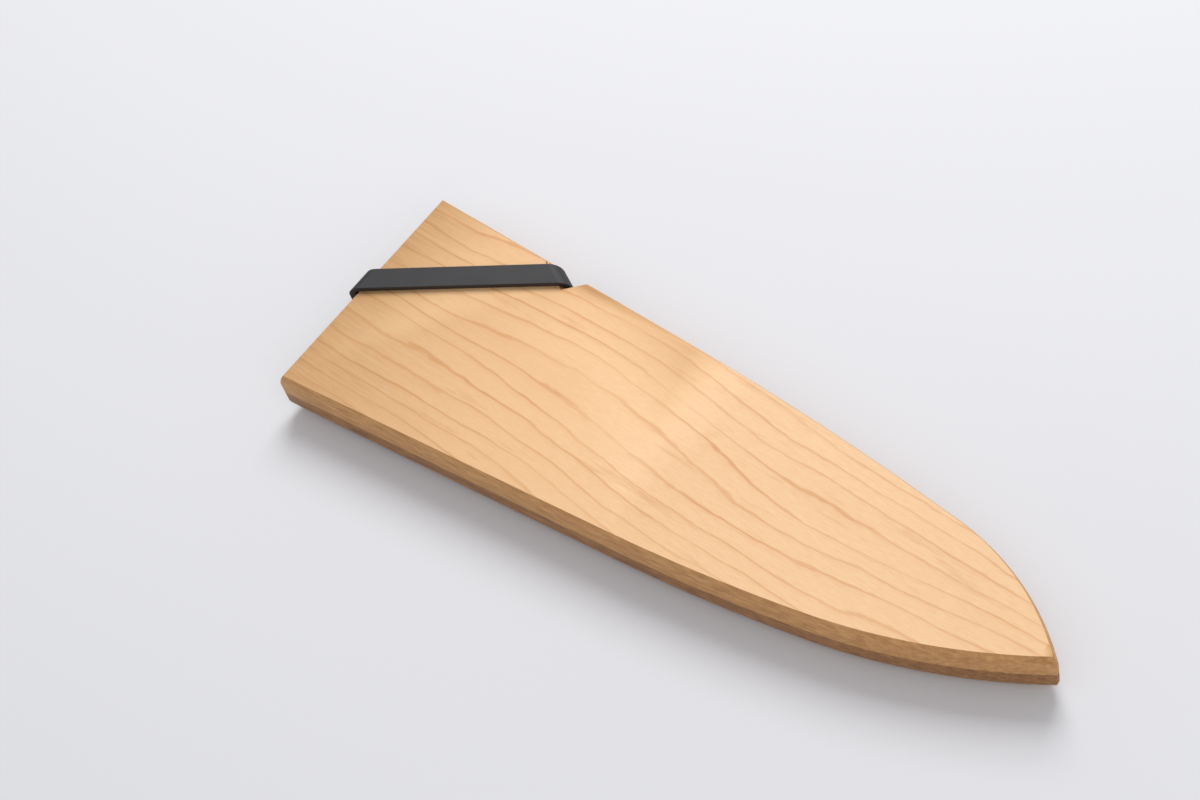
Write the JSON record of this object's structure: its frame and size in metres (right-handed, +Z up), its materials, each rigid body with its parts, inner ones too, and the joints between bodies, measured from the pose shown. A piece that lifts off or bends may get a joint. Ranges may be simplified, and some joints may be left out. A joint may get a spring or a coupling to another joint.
{
  "type": "knife blade guard",
  "caption": "Wooden blade guard for a chef's knife, with a milled blade slot and a rubber band that hooks over a notch in the spine.",
  "frame": {"origin": "middle of the box's underside, on the surface that the guard lies on", "axes": "+X from the mouth towards the tip, +Y towards the spine side with the notch, +Z up through both boards"},
  "size_m": [0.2458, 0.0796, 0.0186],
  "materials": {
    "maple": "satin, lightly sealed",
    "magnet_steel": "nickel plated",
    "band_rubber": "matte"
  },
  "bodies": {
    "guard": {"lower_board": "maple", "upper_board": "maple", "magnet_1": "magnet_steel", "magnet_2": "magnet_steel", "magnet_3": "magnet_steel", "magnet_4": "magnet_steel", "magnet_5": "magnet_steel", "magnet_6": "magnet_steel"},
    "band": {"retaining_band": "band_rubber"}
  },
  "joints": [
    {"name": "band_off", "type": "slide", "parent": "guard", "child": "band", "axis": [-0.5, 0.866, 0], "range_m": [0, 0.042]}
  ]
}
